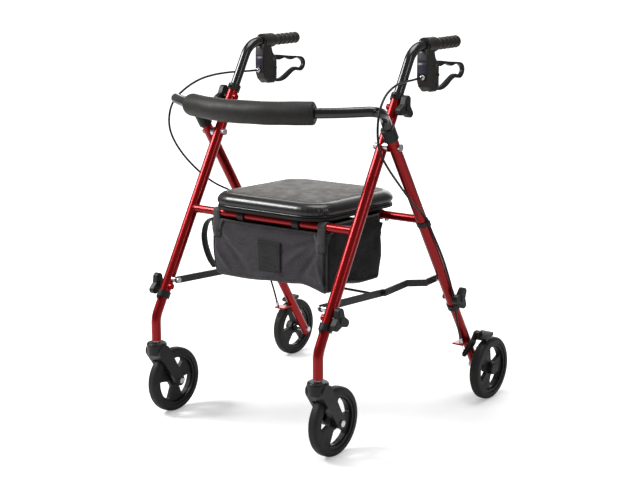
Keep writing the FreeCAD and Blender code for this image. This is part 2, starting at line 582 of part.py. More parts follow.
save("caster_axle_right", mirrored(axle))


# ---- wheels: soft tyre on a rim with three broad spokes ----
def wheel(x, y, turn, capped):
    """Tyre and hub of one wheel on the +X side; turn is the first spoke's angle."""
    z = WHEEL_R
    tyre = xcyl(x - TYRE_HALF, x + TYRE_HALF, y, z, WHEEL_R)
    tyre = tyre.cut(xcyl(x - 20, x + 20, y, z, 61.0))
    tyre = round_edges(tyre, 8.0, lambda e: e.BoundBox.ZLength > 150)
    rim = xcyl(x - 10, x + 10, y, z, 61.0)
    hub = rim.cut(xcyl(x - 20, x - 5, y, z, 54.0)).cut(xcyl(x + 5, x + 20, y, z, 54.0))
    for i in range(3):
        a = math.radians(turn + 60 + 120 * i)
        spread = math.radians(34)
        pts = []
        for r, b in ((20, a - spread * 0.8), (52, a - spread), (52, a - spread / 3), (52, a + spread / 3)):
            pts.append((y + r * math.cos(b), z + r * math.sin(b)))
        for r, b in ((52, a + spread), (20, a + spread * 0.8)):
            pts.append((y + r * math.cos(b), z + r * math.sin(b)))
        hole = plate_x(pts, x - 6, x + 6)
        hub = hub.cut(round_edges(hole, 5.0, lambda e: e.BoundBox.XLength > 5))
    core1 = x + 14.2
    hub = fused([hub, xcyl(x - 14.2, core1, y, z, 13.0)])
    if capped:
        dome = xcyl(core1, x + 17, y, z, 14.5)
        dome = round_edges(dome, 2.5, lambda e: e.BoundBox.XMin > x + 16.5)
        hub = fused([hub, xcyl(x + 5, core1, y, z, 14.5), dome])
        hub = hub.cut(xcyl(x - 20, x + 12, y, z, AXLE_R + RUN_GAP))
    else:
        hub = hub.cut(xcyl(x - 20, x + 20, y, z, AXLE_R + RUN_GAP))
    return tyre, hub


for name, x, y, turns, capped in (
    ("front", FRONT_X, CASTER_WHEEL_Y, (103, 30), False),
    ("rear", REAR_WHEEL_X, REAR_WHEEL_Y, (0, 90), True),
):
    for side, turn in (("left", turns[0]), ("right", turns[1])):
        tyre, hub = wheel(x, y, turn, capped)
        if side == "right":
            tyre, hub = mirrored(tyre), mirrored(hub)
        save(name + "_tyre_" + side, tyre)
        save(name + "_hub_" + side, hub)

# ---- rear legs: inner tube, red brake bracket in front ----
foot = rear_at(WHEEL_R)
rear_leg = ring(foot - REAR_UP * 14, rear_at(356), INNER_R, INNER_BORE_R)
leg_fill = cyl(foot - REAR_UP * 14, foot + REAR_UP * 14, INNER_BORE_R)
bracket = box(262, 280, 168, 208, 150, 154).fuse(box(262, 290, 168, 194, 150, 154))
bracket = bracket.cut(cyl(rear_at(80), rear_at(340), INNER_R))
rear_leg = rear_leg.fuse([leg_fill, bracket])
rear_leg = max(rear_leg.removeSplitter().Solids, key=lambda s: s.Volume)
BRAKE_Z = 149.0
BRAKE_Y = rear_at(BRAKE_Z).y
rear_leg = rear_leg.cut(xcyl(200, 300, foot.y, foot.z, AXLE_R))
rear_leg = rear_leg.cut(xcyl(REAR_X, 300, BRAKE_Y, BRAKE_Z, LINK_BOLT_R))
ADJ = V(284, 175, 150)
ADJ_DIR = V(-0.03, -0.33, 0.944).normalize()
rear_leg = rear_leg.cut(cyl(ADJ - ADJ_DIR * 5, ADJ + ADJ_DIR * 10, 2.5))
save("rear_leg_left", rear_leg)
save("rear_leg_right", mirrored(rear_leg))

leg_solid = cyl(foot - REAR_UP * 14, rear_at(356), INNER_R)
axle_parts = [
    xcyl(REAR_X - INNER_R - 1, REAR_WHEEL_X + 11.5, foot.y, foot.z, AXLE_R),
    xcyl(REAR_X - INNER_R - 5, REAR_X, foot.y, foot.z, 6.5).cut(leg_solid),
    xcyl(REAR_X, REAR_WHEEL_X - 14.5, foot.y, foot.z, 8.0).cut(leg_solid),
]
brake_bolt = fused([
    xcyl(REAR_X + INNER_R - 2, 291, BRAKE_Y, BRAKE_Z, LINK_BOLT_R).cut(leg_solid.cut(rear_leg)),
    xcyl(290.8, 293.3, BRAKE_Y, BRAKE_Z, 5.0),
])
# adjuster barrel standing on the bracket, on the line of the cable
base_plane = ADJ + ADJ_DIR * (4 / ADJ_DIR.z)
barrel = cyl(ADJ + ADJ_DIR * 1, base_plane + ADJ_DIR * 15, 4.0)
barrel = barrel.cut(box(250, 300, 150, 210, 130, 154))
neck = cyl(ADJ + ADJ_DIR * 0.5, base_plane + ADJ_DIR * 2, 2.5).common(box(250, 300, 150, 210, 150, 160))
adjuster = fused([barrel, neck])
save("rear_leg_hardware_left", Part.makeCompound([fused(axle_parts), brake_bolt, adjuster]))
save("rear_leg_hardware_right", mirrored(Part.makeCompound([fused(axle_parts), brake_bolt, adjuster])))

# ---- brake arms: built pressed on the tyre, then turned back to rest ----
ARM_X0, ARM_X1 = 285.5, 290.5
lobe = link_x((BRAKE_Y, BRAKE_Z), 10.0, (180, 131), 7.0, ARM_X0, ARM_X1)
riser = link_x((BRAKE_Y, BRAKE_Z), 10.0, (233, 166), 6.0, ARM_X0, ARM_X1)
sweep_pts = []
for deg in (114, 108, 102, 96, 91):
    a = math.radians(deg)
    sweep_pts.append((REAR_WHEEL_Y + 88 * math.cos(a), WHEEL_R + 88 * math.sin(a)))
for deg in (91, 96, 102, 108, 114):
    a = math.radians(deg)
    sweep_pts.append((REAR_WHEEL_Y + 80 * math.cos(a), WHEEL_R + 80 * math.sin(a)))
shoe = plate_x(sweep_pts, ARM_X0, 318)
shoe = shoe.cut(xcyl(280, 330, REAR_WHEEL_Y, WHEEL_R, WHEEL_R + 0.6))
ledge = plate_x([(226, 158), (226, 170), (240, 172), (246, 160), (236, 152)], ARM_X0, 300)
ledge = ledge.cut(xcyl(280, 330, REAR_WHEEL_Y, WHEEL_R, WHEEL_R + 3))
arm = fused([lobe, riser, ledge, shoe])
arm = arm.cut(xcyl(280, 300, BRAKE_Y, BRAKE_Z, LINK_BOLT_R + RUN_GAP))
arm.rotate(V(0, BRAKE_Y, BRAKE_Z), X_AXIS, BRAKE_REST)
save("brake_arm_left", arm)
save("brake_arm_right", mirrored(arm))

# ---- return springs: coil round the brake bolt with two legs ----
coil = xcyl(280.5, 285.2, BRAKE_Y, BRAKE_Z, 6.0).cut(xcyl(280, 286, BRAKE_Y, BRAKE_Z, 4.4))
leg_low = cyl(V(283.4, BRAKE_Y, BRAKE_Z - 5.2), V(283.4, BRAKE_Y + 26, BRAKE_Z - 24), 0.8)
leg_high = cyl(V(284.2, BRAKE_Y, BRAKE_Z + 5.2), V(284.2, BRAKE_Y + 14, BRAKE_Z + 10), 0.8)
spring = fused([coil, leg_low, leg_high])
spring = spring.cut(xcyl(280, 286, BRAKE_Y, BRAKE_Z, 4.4))
save("brake_spring_left", spring)
save("brake_spring_right", mirrored(spring))

# ---- brake cables: from each housing's ferrule to the adjuster on the rear leg ----
CABLE_END = base_plane + ADJ_DIR * 15
clip_pass = V(REAR_X + 16.2, 0, 0)
shared_low = [
    c + clip_pass + REAR_UP * 20, c + clip_pass - REAR_UP * 22, V(285.6, 72, 392), V(286.0, 101, 341),
    V(285.4, 127, 288), V(284.6, 140, 246), CABLE_END + ADJ_DIR * 32,
]
shared_low[0] = V(285.2, shared_low[0].y, shared_low[0].z)
shared_low[1] = V(285.2, shared_low[1].y, shared_low[1].z)
shared_top = [CABLE_START, CABLE_LEAD, V(248, 10, 784), V(255, -12, 783.6), V(260, -40, 783)]
left_route = shared_top + [
    V(268, -78, 781.5), V(280, -122, 775.5), V(295, -172, 761), V(305, -206, 732), V(306, -213, 692),
    V(302, -200, 650), V(295, -158, 611), V(289.5, -104, 567), V(286.5, -48, 520),
]
right_route = shared_top + [
    V(270, -74, 779.5), V(283, -108, 771), V(297, -142, 752), V(308, -178, 722), V(311, -190, 682),
    V(307, -188, 644), V(298, -162, 597), V(291, -112, 548), V(287, -56, 510),
]
left_cable = pipe(left_route + shared_low + [CABLE_END], CABLE_R, None, "left cable")
right_cable = pipe(right_route + shared_low + [CABLE_END], CABLE_R, None, "right cable")
inner_wire = cyl(V(284, 175.6, 149.9), V(284, 179.3, 138.6), 0.8).common(box(270, 300, 160, 200, 120, 149.9))
save("brake_cable_left", Part.makeCompound([left_cable, inner_wire]))
save("brake_cable_right", mirrored(Part.makeCompound([right_cable, inner_wire])))

total = Part.makeCompound([s for _, s in nodes]).BoundBox
print(len(nodes), "nodes; X", total.XMin, total.XMax, "Y", total.YMin, total.YMax, "Z", total.ZMin, total.ZMax)
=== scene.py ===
"""Visual model of the folding rollator walker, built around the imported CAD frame."""
import bpy
import math
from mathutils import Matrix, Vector, noise


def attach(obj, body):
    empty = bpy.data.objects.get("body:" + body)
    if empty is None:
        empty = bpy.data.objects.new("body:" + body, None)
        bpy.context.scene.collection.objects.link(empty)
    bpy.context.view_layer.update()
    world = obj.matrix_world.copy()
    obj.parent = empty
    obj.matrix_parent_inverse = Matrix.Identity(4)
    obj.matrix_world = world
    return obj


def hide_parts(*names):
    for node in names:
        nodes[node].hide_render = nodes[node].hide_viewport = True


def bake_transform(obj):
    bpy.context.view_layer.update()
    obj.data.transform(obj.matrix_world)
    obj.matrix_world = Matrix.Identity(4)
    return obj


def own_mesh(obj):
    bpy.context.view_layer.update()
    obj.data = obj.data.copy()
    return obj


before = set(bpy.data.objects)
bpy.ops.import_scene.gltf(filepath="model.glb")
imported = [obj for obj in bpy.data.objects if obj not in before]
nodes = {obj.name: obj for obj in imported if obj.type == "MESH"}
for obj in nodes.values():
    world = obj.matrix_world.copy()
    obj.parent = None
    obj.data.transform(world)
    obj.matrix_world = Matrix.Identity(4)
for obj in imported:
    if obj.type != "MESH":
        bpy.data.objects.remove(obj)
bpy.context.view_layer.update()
scene = bpy.context.scene
SIDES = (("left", 1.0), ("right", -1.0))

# ---- camera in front, to the left-hand side of the walker ----
CAMERA_AT = (1.6991, -2.1889, 0.957)
CAMERA_DOWN, CAMERA_TURN = 11.42, 37.93
CAMERA_LENS = 67.2
camera_data = bpy.data.cameras.new("camera")
camera_data.sensor_width = 36.0
camera_data.lens = CAMERA_LENS
camera_data.clip_end = 50.0
camera = bpy.data.objects.new("camera", camera_data)
camera.location = CAMERA_AT
camera.rotation_euler = (math.radians(90 - CAMERA_DOWN), 0.0, math.radians(CAMERA_TURN))
scene.collection.objects.link(camera)
scene.camera = camera

# ---- sizes shared with the CAD model, in metres ----
FRONT_X = 0.237
REAR_X = 0.269
TUBE_R = 0.0127
BAR_R = 0.0095
BAR_Z = 0.475
FRONT_BAR_Y = -0.1896
REAR_BAR_Y = 0.0137
FRONT_UP = Vector((0, 0.5474, 1)).normalized()
REAR_UP = Vector((0, -0.63516, 1)).normalized()
BAG_HX = 0.168
BAG_Y0, BAG_Y1 = -0.200, 0.004
BAG_Z0, BAG_Z1 = 0.325, 0.463
STRAP_X = 0.153


# ---- mesh helpers ----
def add_mesh(name, verts, faces, material, smooth=True):
    """A new object from vertices and faces, with one material."""
    mesh = bpy.data.meshes.new(name)
    mesh.from_pydata([tuple(v) for v in verts], [], faces)
    mesh.validate()
    mesh.materials.append(material)
    for poly in mesh.polygons:
        poly.use_smooth = smooth
    obj = bpy.data.objects.new(name, mesh)
    scene.collection.objects.link(obj)
    return obj


def loft(rings, caps=True):
    """Vertices and faces through rings of equal length."""
    n = len(rings[0])
    verts = [v for ring in rings for v in ring]
    faces = []
    for i in range(len(rings) - 1):
        a, b = i * n, (i + 1) * n
        for j in range(n):
            k = (j + 1) % n
            faces.append((a + j, a + k, b + k, b + j))
    if caps:
        faces.append(tuple(reversed(range(n))))
        last = (len(rings) - 1) * n
        faces.append(tuple(last + j for j in range(n)))
    return verts, faces


def frames_along(points):
    """Tangent, side and up at each point, carried along without twist."""
    out = []
    up = None
    for i, p in enumerate(points):
        a = points[max(i - 1, 0)]
        b = points[min(i + 1, len(points) - 1)]
        t = (b - a).normalized()
        if up is None:
            up = Vector((0, 0, 1)) if abs(t.z) < 0.9 else Vector((0, 1, 0))
        side = t.cross(up).normalized()
        up = side.cross(t).normalized()
        out.append((t, side, up))
    return out


def tube(name, points, radius, material, sides=20):
    """Round tube along points; radius is a number or one per point."""
    radii = radius if isinstance(radius, list) else [radius] * len(points)
    rings = []
    for p, r, (t, side, up) in zip(points, radii, frames_along(points)):
        ring = []
        for j in range(sides):
            a = 2 * math.pi * j / sides
            ring.append(p + side * (r * math.cos(a)) + up * (r * math.sin(a)))
        rings.append(ring)
    verts, faces = loft(rings)
    return add_mesh(name, verts, faces, material)


def strap(name, points, width, thick, material, side_dir):
    """Flat webbing along points, width along side_dir."""
    rings = []
    for i, p in enumerate(points):
        a = points[max(i - 1, 0)]
        b = points[min(i + 1, len(points) - 1)]
        t = (b - a).normalized()
        side = (side_dir - t * side_dir.dot(t)).normalized()
        out = t.cross(side).normalized()
        w = width / 2
        h = thick / 2
        edge = 0.35 * h
        ring = []
        for u, v in ((-w, -edge), (-w + h, -h), (0, -h), (w - h, -h), (w, -edge),
                     (w, edge), (w - h, h), (0, h), (-w + h, h), (-w, edge)):
            ring.append(p + side * u + out * v)
        rings.append(ring)
    verts, faces = loft(rings)
    return add_mesh(name, verts, faces, material)


def nurbs_points(points, resolution=14):
    """Points read from a NURBS curve that has the route as its control points."""
    curve = bpy.data.curves.new("route", "CURVE")
    curve.dimensions = "3D"
    spline = curve.splines.new("NURBS")
    spline.points.add(len(points) - 1)
    for target, p in zip(spline.points, points):
        target.co = (p[0], p[1], p[2], 1.0)
    spline.order_u = 3
    spline.use_endpoint_u = True
    spline.resolution_u = resolution
    obj = bpy.data.objects.new("route", curve)
    scene.collection.objects.link(obj)
    mesh = bpy.data.meshes.new_from_object(obj)
    out = [v.co.copy() for v in mesh.vertices]
    bpy.data.objects.remove(obj)
    bpy.data.curves.remove(curve)
    bpy.data.meshes.remove(mesh)
    return out


def grid_faces(rows, columns):
    """Quads between the points of a grid that is stored row by row."""
    step = columns + 1
    return [(i * step + j, i * step + j + 1, i * step + j + step + 1, i * step + j + step)
            for i in range(rows) for j in range(columns)]


def thicken(obj, thickness, offset):
    """Gives a cloth surface its thickness: offset 0 on both sides, 1 outward."""
    cloth = obj.modifiers.new("cloth", "SOLIDIFY")
    cloth.thickness = thickness
    cloth.offset = offset
    bpy.context.view_layer.update()
    graph = bpy.context.evaluated_depsgraph_get()
    mesh = bpy.data.meshes.new_from_object(obj.evaluated_get(graph))
    obj.modifiers.clear()
    obj.data = mesh


# ---- materials ----
class Shade:
    """Small builder for a Principled material."""

    def __init__(self, name):
        self.mat = bpy.data.materials.new(name)
        self.mat.use_nodes = True
        self.tree = self.mat.node_tree
        self.bsdf = self.tree.nodes["Principled BSDF"]
        self.coords = self.tree.nodes.new("ShaderNodeTexCoord")
        self.height = None

    def node(self, kind, **inputs):
        n = self.tree.nodes.new(kind)
        for key, value in inputs.items():
            n.inputs[key.replace("_", " ")].default_value = value
        return n

    def link(self, a, b):
        self.tree.links.new(a, b)

    def set(self, **values):
        for key, value in values.items():
            if key == "Base_Color" and len(value) == 3:
                value = (*value, 1.0)
            self.bsdf.inputs[key.replace("_", " ")].default_value = value

    def noise(self, scale, detail=4.0, rough=0.55, stretch=None):
        n = self.node("ShaderNodeTexNoise", Scale=scale, Detail=detail, Roughness=rough)
        source = self.coords.outputs["Object"]
        if stretch:
            m = self.node("ShaderNodeMapping", Scale=stretch)
            self.link(source, m.inputs["Vector"])
            source = m.outputs["Vector"]
        self.link(source, n.inputs["Vector"])
        return n.outputs["Fac"]

    def voronoi(self, scale):
        n = self.node("ShaderNodeTexVoronoi", Scale=scale)
        self.link(self.coords.outputs["Object"], n.inputs["Vector"])
        return n.outputs["Distance"]

    def wave(self, scale, direction):
        n = self.node("ShaderNodeTexWave", Scale=scale)
        n.bands_direction = direction
        self.link(self.coords.outputs["Object"], n.inputs["Vector"])
        return n.outputs["Fac"]

    def ramp(self, fac, stops, target=None):
        """Colour ramp from a factor; stops are (position, grey or colour)."""
        n = self.node("ShaderNodeValToRGB")
        while len(n.color_ramp.elements) < len(stops):
            n.color_ramp.elements.new(0.5)
        for element, (pos, value) in zip(n.color_ramp.elements, stops):
            element.position = pos
            colour = value if hasattr(value, "__len__") else (value,) * 3
            element.color = (*colour, 1.0)
        self.link(fac, n.inputs["Fac"])
        if target:
            self.link(n.outputs["Color"], self.bsdf.inputs[target])
        return n.outputs["Color"]

    def math(self, operation, a, b):
        n = self.node("ShaderNodeMath")
        n.operation = operation
        for i, value in enumerate((a, b)):
            if isinstance(value, (int, float)):
                n.inputs[i].default_value = value
            else:
                self.link(value, n.inputs[i])
        return n.outputs["Value"]

    def bump(self, height, distance, strength=1.0):
        n = self.node("ShaderNodeBump", Distance=distance, Strength=strength)
        self.link(height, n.inputs["Height"])
        if self.height:
            self.link(self.height, n.inputs["Normal"])
        self.height = n.outputs["Normal"]
        self.link(self.height, self.bsdf.inputs["Normal"])


def paint(name, dark, light, metallic, rough, coat=1.0):
    """Glossy sprayed paint with faint orange peel and flake."""
    s = Shade(name)
    s.set(Metallic=metallic, Coat_Weight=coat, Coat_Roughness=0.16, Specular_IOR_Level=0.35)
    s.ramp(s.noise(420.0, 3.0, 0.7), [(0.3, dark), (0.75, light)], "Base Color")
    s.ramp(s.noise(38.0, 4.0), [(0.3, rough * 0.9), (0.7, rough * 1.12)], "Roughness")
    s.bump(s.noise(90.0, 2.0), 0.00002, 0.12)
    return s.mat


def plastic(name, dark, light, rough, grain=900.0, depth=0.00015):
    """Moulded plastic with a fine spark texture and a little handling wear."""
    s = Shade(name)
    s.set(Specular_IOR_Level=0.3)
    s.ramp(s.noise(24.0, 5.0, 0.6), [(0.3, dark), (0.72, light)], "Base Color")
    s.ramp(s.noise(60.0, 5.0, 0.65), [(0.3, rough * 0.8), (0.7, min(rough * 1.25, 1.0))], "Roughness")
    s.bump(s.noise(grain, 2.0), depth, 0.5)
    return s.mat


def metal(name, dark, light, rough, stretch=None):
    """Plated or brushed steel."""
    s = Shade(name)
    s.set(Metallic=1.0)
    fine = s.noise(300.0, 4.0, 0.6, stretch)
    s.ramp(fine, [(0.3, dark), (0.7, light)], "Base Color")
    s.ramp(s.noise(90.0, 4.0), [(0.3, rough * 0.7), (0.7, rough * 1.4)], "Roughness")
    s.bump(fine, 0.00006, 0.4)
    return s.mat


def rubber(name, dark, light, rough, grain=500.0, depth=0.0003):
    """Matt rubber or foam with a fine grain."""
    s = Shade(name)
    s.set(Specular_IOR_Level=0.22)
    s.ramp(s.noise(16.0, 6.0, 0.65), [(0.28, dark), (0.75, light)], "Base Color")
    s.ramp(s.noise(45.0, 5.0), [(0.3, rough * 0.88), (0.7, min(rough * 1.15, 1.0))], "Roughness")
    s.bump(s.noise(grain, 3.0), depth, 0.6)
    return s.mat


def nylon(name, dark, light, sheen, bands=382.165605):
    """Plain woven nylon: two crossed wave patterns for the yarns."""
    s = Shade(name)
    s.set(Sheen_Weight=sheen, Sheen_Roughness=0.45, Specular_IOR_Level=0.25)
    s.ramp(s.noise(14.0, 6.0, 0.6), [(0.3, dark), (0.7, light)], "Base Color")
    s.ramp(s.noise(30.0, 4.0), [(0.3, 0.55), (0.7, 0.75)], "Roughness")
    yarn = s.math("MULTIPLY", s.wave(bands, "X"), s.wave(bands, "Z"))
    yarn_y = s.math("MULTIPLY", s.wave(bands, "Y"), s.wave(bands, "Z"))
    s.bump(s.noise(34.0, 4.0, 0.5), 0.0010, 0.35)
    s.bump(s.math("ADD", yarn, yarn_y), 0.0003, 0.7)
    return s.mat


def webbing_material(name, dark, light):
    """Woven tape with ribs along and across."""
    s = Shade(name)
    s.set(Sheen_Weight=0.3, Sheen_Roughness=0.5)
    s.ramp(s.noise(120.0, 4.0), [(0.3, dark), (0.7, light)], "Base Color")
    s.ramp(s.noise(60.0, 4.0), [(0.3, 0.6), (0.7, 0.8)], "Roughness")
    rib = s.math("MULTIPLY", s.wave(170.0, "Z"), s.wave(170.0, "X"))
    s.bump(rib, 0.0005, 0.7)
    return s.mat


def vinyl(name, dark, light, rough, cell=900.0, depth=0.0004, coat=0.0):
    """Leathercloth grain: cell pattern broken up by noise."""
    s = Shade(name)
    s.set(Specular_IOR_Level=0.4, Coat_Weight=coat, Coat_Roughness=0.12)
    s.ramp(s.noise(9.0, 6.0, 0.6), [(0.3, dark), (0.7, light)], "Base Color")
    s.ramp(s.noise(50.0, 4.0), [(0.3, rough * 0.85), (0.7, min(rough * 1.2, 1.0))], "Roughness")
    s.bump(s.noise(22.0, 3.0), depth * 1.5, 0.3)
    s.bump(s.voronoi(cell), depth, 0.7)
    return s.mat


RED = paint("candy_red", (0.25, 0.0006, 0.002), (0.29, 0.0012, 0.004), 0.75, 0.30, 0.25)
BLACK = paint("black_enamel", (0.003, 0.003, 0.003), (0.009, 0.009, 0.009), 0.0, 0.25, 0.5)
LINK = paint("black_steel", (0.008, 0.008, 0.008), (0.018, 0.017, 0.017), 0.1, 0.45, 0.1)
PLASTIC = plastic("black_plastic", (0.004, 0.004, 0.004), (0.009, 0.009, 0.009), 0.42)
KNOB = plastic("knob_plastic", (0.006, 0.007, 0.007), (0.013, 0.014, 0.014), 0.46, 700.0)
HOUSING = plastic("housing_plastic", (0.012, 0.011, 0.009), (0.024, 0.021, 0.018), 0.42)
COVER_UP = plastic("cover_grey_plastic", (0.060, 0.058, 0.064), (0.088, 0.084, 0.092), 0.38)
COVER_LOW = plastic("cover_blue_plastic", (0.026, 0.024, 0.038), (0.042, 0.040, 0.060), 0.34)
FORK = plastic("fork_plastic", (0.003, 0.003, 0.003), (0.007, 0.006, 0.006), 0.38)
HUB = plastic("hub_plastic", (0.004, 0.004, 0.004), (0.010, 0.009, 0.009), 0.48)
ZINC = metal("zinc", (0.45, 0.45, 0.46), (0.72, 0.72, 0.73), 0.26)
SCREW = metal("screw_steel", (0.06, 0.06, 0.06), (0.12, 0.12, 0.12), 0.42)
STEEL = metal("turned_steel", (0.38, 0.38, 0.39), (0.62, 0.62, 0.63), 0.3, (1, 1, 6))
GRIP = rubber("grip_rubber", (0.014, 0.012, 0.011), (0.030, 0.027, 0.025), 0.5, 700.0, 0.0002)
TYRE = rubber("tyre_rubber", (0.010, 0.010, 0.010), (0.023, 0.022, 0.021), 0.55)
FOAM = rubber("pad_foam", (0.016, 0.015, 0.014), (0.030, 0.028, 0.027), 0.52, 1200.0, 0.0003)
CABLE = rubber("cable_jacket", (0.004, 0.004, 0.004), (0.010, 0.010, 0.010), 0.35, 300.0, 0.00005)
BAG_CLOTH = nylon("bag_nylon", (0.022, 0.018, 0.023), (0.038, 0.033, 0.041), 0.2)
# near-black copy of the bag nylon for the ends and the bottom: painted shade on the same cloth as the front
BAG_SIDE_SHADE = nylon("bag_side_nylon_painted_shade", (0.002, 0.002, 0.002), (0.005, 0.005, 0.005), 0.0)
BINDING = webbing_material("binding_tape", (0.004, 0.004, 0.004), (0.009, 0.009, 0.009))
WEBBING = webbing_material("strap_webbing", (0.006, 0.006, 0.006), (0.014, 0.014, 0.014))
PATCH = nylon("patch_cloth", (0.004, 0.004, 0.005), (0.009, 0.009, 0.010), 0.15)
SEAT_TOP = vinyl("seat_top_vinyl", (0.038, 0.034, 0.029), (0.050, 0.045, 0.039), 0.55, 900.0, 0.0003)
SEAT_SIDE = vinyl("seat_side_vinyl", (0.005, 0.005, 0.005), (0.010, 0.010, 0.010), 0.36, 500.0, 0.00002, 0.25)

NODE_MATERIALS = (
    ("front_tube", RED), ("rear_tube", RED), ("front_crossbar", RED), ("rear_crossbar", RED),
    ("front_leg", RED), ("rear_leg_hardware", ZINC), ("rear_leg_collars", PLASTIC), ("rear_leg", RED),
    ("handle_tube", BLACK), ("backrest_bar", BLACK), ("backrest_sockets", PLASTIC),
    ("brace_", LINK), ("brake_arm", PLASTIC), ("brake_lever", PLASTIC), ("brake_housing", HOUSING),
    ("brake_spring", STEEL), ("frame_bolts", ZINC), ("rear_frame_bolts", ZINC), ("caster_stem", STEEL),
    ("caster_axle", ZINC), ("caster_fork", FORK), ("grip", GRIP), ("knob", KNOB), ("tube_collars", PLASTIC),
    ("cable_clips", PLASTIC), ("seat_board", PLASTIC), ("front_tyre", TYRE), ("rear_tyre", TYRE),
    ("front_hub", HUB), ("rear_hub", HUB),
)
for name, obj in nodes.items():
    for prefix, material in NODE_MATERIALS:
        if name.startswith(prefix):
            obj.data.materials.clear()
            obj.data.materials.append(material)
            break

# ---- brake cables: one NURBS line each, split where the bodies change ----
# the first stretch ends before it passes the knob, the next one before it passes the backrest bar,
# and the big loop swings with the rear frame
PAST_KNOB_Y, OUTSIDE_Y = -0.036, -0.165
LOW_ROUTE = (
    (0.2852, 0.0074, 0.4849), (0.2852, 0.0299, 0.4494), (0.2856, 0.072, 0.392), (0.286, 0.101, 0.341),
    (0.2854, 0.127, 0.288), (0.2846, 0.140, 0.246), (0.2825, 0.1581, 0.1983), (0.2834, 0.1687, 0.1682),
)
START_ROUTE = (
    (0.240, 0.048, 0.7853), (0.242, 0.031, 0.7845), (0.248, 0.010, 0.784), (0.255, -0.012, 0.7836),
    (0.260, -0.040, 0.783),
)
LEFT_ROUTE = START_ROUTE + (
    (0.268, -0.078, 0.7815), (0.280, -0.122, 0.7755), (0.295, -0.172, 0.761), (0.305, -0.206, 0.732),
    (0.306, -0.213, 0.692), (0.302, -0.200, 0.650), (0.295, -0.158, 0.611), (0.2895, -0.104, 0.567),
    (0.2865, -0.048, 0.520),
) + LOW_ROUTE
RIGHT_ROUTE = START_ROUTE + (
    (0.270, -0.074, 0.7795), (0.283, -0.108, 0.771), (0.297, -0.142, 0.752), (0.308, -0.178, 0.722),
    (0.311, -0.190, 0.682), (0.307, -0.188, 0.644), (0.298, -0.162, 0.597), (0.291, -0.112, 0.548),
    (0.287, -0.056, 0.510),
) + LOW_ROUTE
CABLE_R, CABLE_SIDES = 0.0025, 14
CLIP_MIN_Y, CLIP_Z = -0.05, 0.468
WIRE_TOP, WIRE_LOW, WIRE_R = (0.2840, 0.1756, 0.1500), (0.2862, 0.1800, 0.1370), 0.0009
for (side, k), route in zip(SIDES, (LEFT_ROUTE, RIGHT_ROUTE)):
    line = nurbs_points([Vector((k * x, y, z)) for x, y, z in route])
    past_knob = next(i for i, p in enumerate(line) if p.y < PAST_KNOB_Y)
    outside = next(i for i, p in enumerate(line) if p.y < OUTSIDE_Y)
    clip = min((i for i in range(len(line)) if line[i].y > CLIP_MIN_Y), key=lambda i: abs(line[i].z - CLIP_Z))
    upper = tube("cable_upper_" + side, line[:past_knob + 1], CABLE_R, CABLE, CABLE_SIDES)
    bridge = tube("cable_bridge_" + side, line[past_knob:outside + 1], CABLE_R, CABLE, CABLE_SIDES)
    middle = tube("cable_middle_" + side, line[outside:clip + 1], CABLE_R, CABLE, CABLE_SIDES)
    lower = tube("cable_lower_" + side, line[clip:], CABLE_R, CABLE, CABLE_SIDES)
    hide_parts("brake_cable_" + side)
    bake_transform(upper)
    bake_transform(bridge)
    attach(middle, "rear_frame")
    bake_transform(lower)
    # plated ferrule at the housing and the bare inner wire below the adjuster
    back = (line[0] - line[1]).normalized()
    ferrule = tube("cable_ferrule_" + side, [line[0] + back * d for d in (0.0066, 0.003, 0.0028, -0.0004)],
                   [0.0060, 0.0060, 0.0048, 0.0044], ZINC, 24)
    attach(ferrule, "handle_" + side)
    wire_top, wire_low = (Vector((k * x, y, z)) for x, y, z in (WIRE_TOP, WIRE_LOW))
    wire = tube("cable_wire_" + side, [wire_top, wire_top.lerp(wire_low, 0.5), wire_low], WIRE_R, STEEL, 10)
    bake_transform(wire)

# ---- seat cushion ----
SEAT_HX, SEAT_HY = 0.165, 0.1595
SEAT_CY = -0.0625
SEAT_Z0 = 0.494


CORNER_STEPS = 32


def rounded_outline(hx, hy, radius, count):
    """Points of a rounded rectangle, evenly spaced, with outward normals."""
    dense = []
    for cx, cy, a0 in ((1, 1, 0), (-1, 1, 90), (-1, -1, 180), (1, -1, 270)):
        for i in range(CORNER_STEPS + 1):
            a = math.radians(a0 + 90 * i / CORNER_STEPS)
            x, y = hx - radius + cx * radius * math.cos(a), hy - radius + cy * radius * math.sin(a)
            dense.append(Vector((cx * x, cy * y)))
    lengths = [0.0]
    for i, p in enumerate(dense):
        lengths.append(lengths[-1] + (dense[(i + 1) % len(dense)] - p).length)
    out = []
    seg = 0
    for j in range(count):
        want = lengths[-1] * j / count
        while lengths[seg + 1] < want:
            seg += 1
        span = lengths[seg + 1] - lengths[seg]
        f = (want - lengths[seg]) / span if span > 0 else 0
        a, b = dense[seg], dense[(seg + 1) % len(dense)]
        d = b - a
        out.append((a.lerp(b, f), Vector((d.y, -d.x)).normalized()))
    return out


SEAT_COUNT = 320
SEAT_CORNER = 0.066
SKIRT_H = 0.032
EDGE_INSET = 0.030  # rings nearer the middle than this are scaled, not inset
MIDDLE_REACH = 0.130
TOP_H, SEAT_WAVE = 0.030, 0.0006
PLEAT_DEPTH, PLEAT_REACH, PLEATS_ROUND = 0.0015, 0.032, 104.0
GATHER_IN = 0.02
seat_outline = rounded_outline(SEAT_HX, SEAT_HY, SEAT_CORNER, SEAT_COUNT)
corners = [Vector((sx * (SEAT_HX - GATHER_IN), sy * (SEAT_HY - GATHER_IN)))
           for sx in (-1, 1) for sy in (-1, 1)]


def pleat(p, z_share):
    """Small gathers in the skirt at the rounded corners, from -1 to 1."""
    near = min((p - c).length for c in corners)
    angle = math.atan2(p.y, p.x)
    low = math.sin(math.pi * min(max(z_share * 1.25, 0), 1))
    return math.exp(-(near / PLEAT_REACH) ** 2) * math.sin(angle * PLEATS_ROUND) * low


